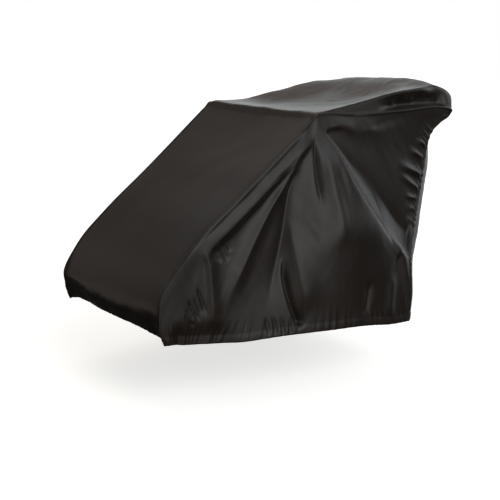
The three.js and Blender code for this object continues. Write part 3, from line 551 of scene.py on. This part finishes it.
def sideGrid(which):
    strips = cut["strips"]
    last = len(strips) - 1.0
    corner = cut["corner"]
    knots = np.arange(last + 1)
    topAlong = np.array([seamWhere(1, row[0], "brow", "crest top") for row in strips])
    rearAlong = np.array([seamEnd if isinstance(row[1], tuple)
                          else seamWhere(2, row[1], "rear hem", "crest under") for row in strips])
    feet = np.array([row[1] if isinstance(row[1], tuple) else strips[corner][1] for row in strips], float)
    swell = np.array([row[2] for row in strips], float)

    def topPoint(place):
        return seamPoint(through(knots, topAlong, place), which)

    def footPoint(place):
        onHem = through(knots, feet, place) * (which, 1, 1)
        if which == right:
            height, pitch = cut["rightSag"]
            onHem[..., 1:] += np.array(cut["rightOff"][0]) * (1 - place / corner)[..., None]
            onHem[..., 2] += height * np.sin(pitch * place) * np.sin(math.pi * place / corner)
        onSeam = seamPoint(through(knots, rearAlong, place), which)
        onSeam[place == 0] = seamPoint(np.zeros(1), which)[0]
        return np.where(((place >= corner) | (place == 0))[..., None], onSeam, onHem)

    # columns: as many to each strip as its wider end needs
    spans = np.linalg.norm(np.diff([topPoint(knots), footPoint(knots)], axis=1), axis=2).max(axis=0)
    counts = [max(2, round(span / sideCloth["columnStep"])) for span in spans]
    places = np.concatenate([np.linspace(i, i + 1, count, endpoint=False) for i, count in enumerate(counts)]
                            + [[last]])
    # rows: some by distance close to the seam and in the hem band, and even ones between
    length = np.linalg.norm(topPoint(places) - footPoint(places), axis=1)
    topSteps = np.array(sideCloth["topSteps"])
    bandSteps = np.array((cut["hemBand"],) + sideCloth["bandSteps"])
    even = np.linspace(0, 1, sideCloth["rows"] - len(topSteps) - len(bandSteps))
    topPart = topSteps[None, :] / length[:, None]
    band = 1 - bandSteps[None, :] / length[:, None]
    bandTop = 1 - (cut["hemBand"] + cut["hemStep"]) / length
    body = topPart[:, -1:] + (bandTop[:, None] - topPart[:, -1:]) * even[1:]
    shares = np.concatenate([topPart, body, band], axis=1)
    behind = np.clip((places - corner) / sideCloth["evenStrips"], 0, 1)[:, None]
    down = mix(shares, np.linspace(0, 1, shares.shape[1])[None, :], behind)
    down[:, 0], down[:, -1] = 0, 1
    place = places[:, None] + 0 * down

    def swelled(share):
        # rises evenly to the full width, then hangs straight
        beyond = 1 - share / through(knots, swell, places)[:, None]
        return 0.5 * (beyond + np.sqrt(beyond ** 2 + sideCloth["swellRound"]))

    none, full = swelled(0 * down), swelled(0 * down + 1)
    wide = (none - swelled(down)) / (none - full)

    def acrossStrip(at):
        # from the seam to the foot of the strips there, as if all the panel's columns hung there
        top, foot = topPoint(at)[:, None], footPoint(at)[:, None]
        return np.stack([mix(top[..., axis], foot[..., axis], wide if axis == 0 else down)
                         for axis in range(3)], axis=-1)

    # the two ends lie on the seam of the nose and of the crest's end, and the columns near them follow
    along = {"top": through(knots, topAlong, places), "rear": through(knots, rearAlong, places),
             "front": mix(topAlong[0], 0.0, down[0]), "back": mix(topAlong[-1], rearAlong[-1], down[-1])}
    ends = {"top": topPoint(places)[:, None], "foot": footPoint(places)[:, None],
            "front": seamPoint(mix(topAlong[0], 0.0, down), which),
            "back": seamPoint(mix(topAlong[-1], rearAlong[-1], down), which)}
    grid = acrossStrip(places)
    for name, strip, fromEnd in (("front", 0.0, place), ("back", last, last - place)):
        reach, power = cut["bulge"][name]
        share = np.clip(1 - fromEnd / reach, 0, 1)[..., None] ** power
        grid = grid + share * (ends[name] - acrossStrip(np.array([strip])))
    return grid, place, along, ends


def shapeSide(panel, which, centreEdge, stops):
    grid, place, along, ends = sideGrid(which)
    corner = cut["corner"]
    away = {name: np.linalg.norm(grid - line, axis=-1) for name, line in ends.items()}
    onRear = place > corner
    hold = sideCloth["foldsHold"]
    held = ease(away["foot"] / np.where(onRear, hold["rearFoot"], hold["foot"]))
    for name in ("top", "front", "back"):
        held = held * ease(away[name] / hold[name])
    x, y, z = (grid[..., axis].copy() for axis in range(3))
    folded = foldField(y, z, panel["folds"], "front", "back") + hollowDepth(y, z, which * x, panel["hollow"])
    tuck = sideCloth["turnUnder"]
    tucked = grow(y, *tuck["front"]) * grow(y, *tuck["rear"]) * grow(away["foot"], *tuck["up"])
    grid[..., 0] += which * (held * folded - tuck["depth"] * tucked)
    out = outwardOf(grid, -which)
    # hem band with its elastic, the rear seam's puckers and the cloth's own unevenness
    hemEnds, gathered, puckered = (sideCloth[name] for name in ("hemEnds", "gathers", "puckers"))
    footRun = lengthAlong(ends["foot"][:, 0])[:, None]
    onHem = grow(place, *hemEnds["front"]) * grow(corner - place, *hemEnds["rear"])
    band = cut["hemSwell"] * ease((cut["hemBand"] - away["foot"]) / cut["hemStep"])
    elastic = grow(away["foot"], *gathered["reach"]) * gathers(footRun, gathered["waves"])
    edge = np.minimum.reduce([away[name] for name in ("top", "front", "back")])
    uneven = grow(edge, *sideCloth["free"]) * sum(height * ripple(y, z, size, seed, stretch)
                                                  for height, size, seed, stretch in sideCloth["ripples"])
    drawn = puckered["swell"] * onRear * grow(away["foot"], *puckered["reach"])
    puckers = drawn[..., None] * seamPucker(along["rear"], which)[:, None]
    grid = grid + puckers + out * (onHem * (band + elastic) + uneven)[..., None]

    def onEdge(name):
        return np.stack([np.interp(along[name], stops, centreEdge[:, axis]) for axis in range(3)], axis=-1)

    # the edges lie on the centre panel's, so that the seam is closed, and the cloth near them follows;
    # the hem hangs free
    rear = np.where(place[:, :1] >= corner, onEdge("rear"), np.nan)
    for name, target, index in (("top", onEdge("top")[:, None], np.s_[:, :1]),
                                ("front", onEdge("front")[None], np.s_[:1]),
                                ("back", onEdge("back")[None], np.s_[-1:]),
                                ("foot", rear[:, None], np.s_[:, -1:])):
        shift = np.nan_to_num(target - grid[index])
        grid = grid + shift * grow(away[name], cut["seamFell"], 0)[..., None]
    return grid


def addSheet(name, grid, facing):
    rows, columns = grid.shape[:2]
    points = (grid.reshape(-1, 3) - groundDrop) * mm
    number = np.arange(rows * columns).reshape(rows, columns)
    a, b, c, d = number[:-1, :-1], number[1:, :-1], number[1:, 1:], number[:-1, 1:]
    quads = np.stack([a, b, c, d] if facing > 0 else [a, d, c, b], axis=-1).reshape(-1, 4)
    mesh = bpy.data.meshes.new(name)
    mesh.from_pydata(points.tolist(), [], quads.tolist())
    mesh.validate()
    mesh.shade_smooth()
    piece = bpy.data.objects.new(name, mesh)
    bpy.context.collection.objects.link(piece)
    thick = piece.modifiers.new("cloth", "SOLIDIFY")
    thick.thickness = cut["cloth"] * mm
    thick.offset = -1.0
    thick.use_even_offset = False
    # the cloth's own measures across and along, for its weave
    corners = quads.reshape(-1)
    flat = np.stack([lengthAlong(grid, axis).reshape(-1)[corners] for axis in (1, 0)], axis=-1) * mm
    lay = mesh.uv_layers.new(name="clothLay")
    lay.uv.foreach_set("vector", flat.astype(np.float32).ravel())
    return piece


centreShape, stops = shapeCentre(centre)
leftShape = shapeSide(leftPanel, left, centreShape[:, -1], stops)
rightShape = shapeSide(rightPanel, right, centreShape[:, 0], stops)
print("cloth shaped", centreShape.shape, leftShape.shape, rightShape.shape)


def linear(code):
    # sRGB hex to the linear colour that the shaders take
    parts = [int(code[i:i + 2], 16) / 255 for i in (1, 3, 5)]
    return tuple(p / 12.92 if p <= 0.04045 else ((p + 0.055) / 1.055) ** 2.4 for p in parts) + (1.0,)


def addNode(tree, kind, settings=(), links=()):
    node = tree.nodes.new(kind)
    for name, value in dict(settings).items():
        if isinstance(name, int) or name in node.inputs:
            node.inputs[name].default_value = value
        else:
            setattr(node, name, value)
    for name, source in dict(links).items():
        tree.links.new(source, node.inputs[name])
    return node


# Coated black nylon, plain woven and dyed: a dark cloth with a soft, slightly greasy sheen that
# catches the light on the crests of its folds and at a low angle. Noise scales are in turns a metre.
nylonLook = {
    "deep": "#140e0a", "worn": "#1c1611", "blotches": 5.0,
    "roughness": 0.41, "ior": 1.5, "specular": 0.35, "sheen": 0.05, "sheenRoughness": 0.4,
    "threadPitch": 2.4,    # real threads are 0.3 mm apart, too fine to show, so they are drawn coarser
    "threadHeight": 0.4, "threadShow": 0.05,
    "crumples": 26.0, "crumpleHeight": 4.0, "crumpleShow": 0.12,
}


def wovenNylon(look):
    material = bpy.data.materials.new("coatedNylon")
    material.use_nodes = True
    tree = material.node_tree
    tree.nodes.clear()
    place = addNode(tree, "ShaderNodeTexCoord")
    lay = addNode(tree, "ShaderNodeUVMap", {"uv_map": "clothLay"})
    blotch = addNode(tree, "ShaderNodeTexNoise", {"Scale": look["blotches"], "Detail": 4.0},
                     {"Vector": place.outputs["Object"]})
    # a mix node has its sockets for colours at 6 and 7, and gives its colour at 2
    tone = addNode(tree, "ShaderNodeMix", {"data_type": "RGBA"}, {0: blotch.outputs["Fac"]})
    tone.inputs[6].default_value = linear(look["deep"])
    tone.inputs[7].default_value = linear(look["worn"])
    threads = []  # a band texture turns by 20 radians a metre at scale 1
    for direction in ("X", "Y"):
        threads.append(addNode(tree, "ShaderNodeTexWave", {
            "wave_type": "BANDS", "bands_direction": direction, "wave_profile": "SIN", "Distortion": 0.0,
            "Scale": math.tau / 20 / (look["threadPitch"] * mm)}, {"Vector": lay.outputs["UV"]}))
    weave = addNode(tree, "ShaderNodeMath", {"operation": "MULTIPLY"},
                    {0: threads[0].outputs["Fac"], 1: threads[1].outputs["Fac"]})
    weaveBump = addNode(tree, "ShaderNodeBump",
                        {"Strength": look["threadShow"], "Distance": look["threadHeight"] * mm},
                        {"Height": weave.outputs[0]})
    crumple = addNode(tree, "ShaderNodeTexNoise",
                      {"Scale": look["crumples"], "Detail": 3.0, "Roughness": 0.5},
                      {"Vector": place.outputs["Object"]})
    crumpleBump = addNode(tree, "ShaderNodeBump",
                          {"Strength": look["crumpleShow"], "Distance": look["crumpleHeight"] * mm},
                          {"Height": crumple.outputs["Fac"], "Normal": weaveBump.outputs["Normal"]})
    cloth = addNode(tree, "ShaderNodeBsdfPrincipled", {
        "Roughness": look["roughness"], "IOR": look["ior"], "Specular IOR Level": look["specular"],
        "Sheen Weight": look["sheen"], "Sheen Roughness": look["sheenRoughness"]},
        {"Base Color": tone.outputs[2], "Normal": crumpleBump.outputs["Normal"]})
    addNode(tree, "ShaderNodeOutputMaterial", {}, {"Surface": cloth.outputs["BSDF"]})
    return material


nylon = wovenNylon(nylonLook)
pieces = {
    "centrePanel": (centreShape, -1, "centre_panel", {"flat": (0.86, 2.36), "area": 1.76}),
    "leftSidePanel": (leftShape, -1, "side_panel_left", {"flat": (1.2, 0.74), "area": 0.60}),
    "rightSidePanel": (rightShape, 1, "side_panel_right", {"flat": (1.2, 0.74), "area": 0.60}),
}
for name, (shape, facing, node, size) in pieces.items():
    piece = addSheet(name, shape, facing)
    piece.data.materials.append(nylon)
    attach(piece, "root")
    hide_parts(node)
print("panels made")

# Studio: a pale matt floor in a white room. What the cloth mirrors is a dark room with soft round lights
# about it: each has its direction, its strength and its colour. The strengths were fitted to the cloth's
# tones by another program and rounded.
studio = {
    "floorHeight": -0.879, "floorReach": 14.0, "floorColour": "#f4f4f2", "floorRoughness": 0.9,
    "floorGlow": 0.7, "seenColour": "#ffffff", "dim": 0.02, "dimColour": "#fff6ee",
    "softness": (32.0, 2.0),  # degrees from its middle at which a light starts, and is full
    "lights": (
        ((0.79, 0.11, 0.61), 1.86, "#fafcff"),
        ((0.92, -0.08, 0.37), 1.27, "#fafcfb"),
        ((0.78, 0.41, 0.46), 0.17, "#f8fcfc"),
        ((1.0, 0.05, -0.01), 1.04, "#fffaf6"),
        ((0.15, 0.9, 0.41), 1.54, "#f8fcff"),
        ((-0.31, 0.94, -0.12), 1.35, "#f8fcfc"),
        ((-0.77, 0.64, -0.03), 1.05, "#f4fcfc"),
        ((-0.91, 0.42, 0.0), 0.6, "#f4fcfc"),
        ((-0.87, 0.45, 0.21), 0.28, "#f6fcfc"),
        ((-0.52, 0.21, 0.83), 1.2, "#ffeee6"),
        ((-0.73, -0.56, 0.39), 0.64, "#ffeee4"),
        ((0.65, -0.76, 0.05), 0.8, "#fff8f2"),
        ((0.46, -0.87, -0.19), 0.5, "#fff8f2"),
        ((0.0, 0.0, 1.0), 0.26, "#f8fcfc"),
    ),
}


def addFloor(settings):
    mesh = bpy.data.meshes.new("floor")
    h, r = settings["floorHeight"], settings["floorReach"]
    mesh.from_pydata([(-r, -r, h), (r, -r, h), (r, r, h), (-r, r, h)], [], [(0, 1, 2, 3)])
    floor = bpy.data.objects.new("floor", mesh)
    bpy.context.collection.objects.link(floor)
    paint = bpy.data.materials.new("mattFloorPaint")
    paint.use_nodes = True
    shader = paint.node_tree.nodes["Principled BSDF"]
    shader.inputs["Base Color"].default_value = linear(settings["floorColour"])
    shader.inputs["Roughness"].default_value = settings["floorRoughness"]
    shader.inputs["Emission Color"].default_value = linear(settings["floorColour"])
    shader.inputs["Emission Strength"].default_value = settings["floorGlow"]
    mesh.materials.append(paint)
    floor.visible_glossy = False  # the room lights the cloth, not the floor's glow
    floor.visible_diffuse = False


def addRoom(settings):
    world = bpy.data.worlds.new("room")
    bpy.context.scene.world = world
    world.use_nodes = True
    tree = world.node_tree
    tree.nodes.clear()
    place = addNode(tree, "ShaderNodeTexCoord")
    start, full = (math.cos(math.radians(angle)) for angle in settings["softness"])
    total = addNode(tree, "ShaderNodeBackground",
                    {"Color": linear(settings["dimColour"]), "Strength": settings["dim"]})
    for way, strength, colour in settings["lights"]:
        towards = addNode(tree, "ShaderNodeVectorMath", {"operation": "DOT_PRODUCT", 1: way},
                          {0: place.outputs["Generated"]})
        glow = addNode(tree, "ShaderNodeMapRange", {
            "interpolation_type": "SMOOTHSTEP", "From Min": start, "From Max": full, "To Min": 0.0,
            "To Max": strength}, {"Value": towards.outputs["Value"]})
        light = addNode(tree, "ShaderNodeBackground", {"Color": linear(colour)},
                        {"Strength": glow.outputs["Result"]})
        total = addNode(tree, "ShaderNodeAddShader", {}, {0: total.outputs[0], 1: light.outputs[0]})
    seen = addNode(tree, "ShaderNodeBackground", {"Color": linear(settings["seenColour"]), "Strength": 1.0})
    ray = addNode(tree, "ShaderNodeLightPath")
    both = addNode(tree, "ShaderNodeMixShader", {},
                   {0: ray.outputs["Is Camera Ray"], 1: total.outputs[0], 2: seen.outputs[0]})
    addNode(tree, "ShaderNodeOutputWorld", {}, {"Surface": both.outputs[0]})


addFloor(studio)
addRoom(studio)
bpy.context.scene.view_settings.view_transform = "Standard"
print("studio set")
